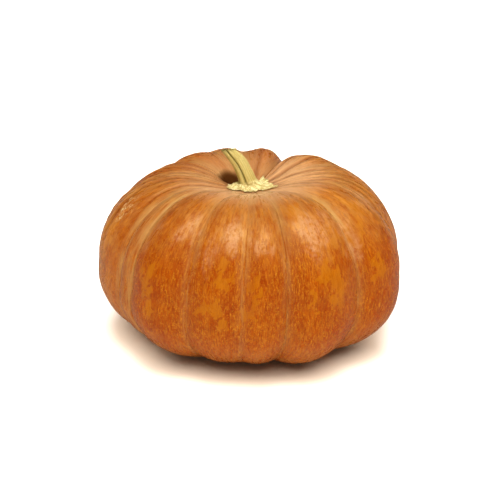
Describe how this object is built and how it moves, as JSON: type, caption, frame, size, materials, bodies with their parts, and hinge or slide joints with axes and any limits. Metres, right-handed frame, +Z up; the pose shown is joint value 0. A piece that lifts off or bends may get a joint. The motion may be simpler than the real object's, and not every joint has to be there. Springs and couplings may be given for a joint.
{
  "type": "pumpkin",
  "caption": "Whole squat ribbed pumpkin, dished at the top, with a short curved dry stem on a flared corky foot, resting flat on the low spots of its ribs.",
  "frame": {"origin": "middle of the fruit's footprint, on the surface it rests on", "axes": "+Z up from the blossom end to the stem, the short way through the fruit; -Y is the side seen from the front, and the stem leans towards -X"},
  "size_m": [0.2588, 0.259, 0.1612],
  "materials": {
    "rind": "satin",
    "dry_stem": "matte"
  },
  "bodies": {
    "root": {"fruit": "rind", "stem": "dry_stem"}
  },
  "joints": []
}
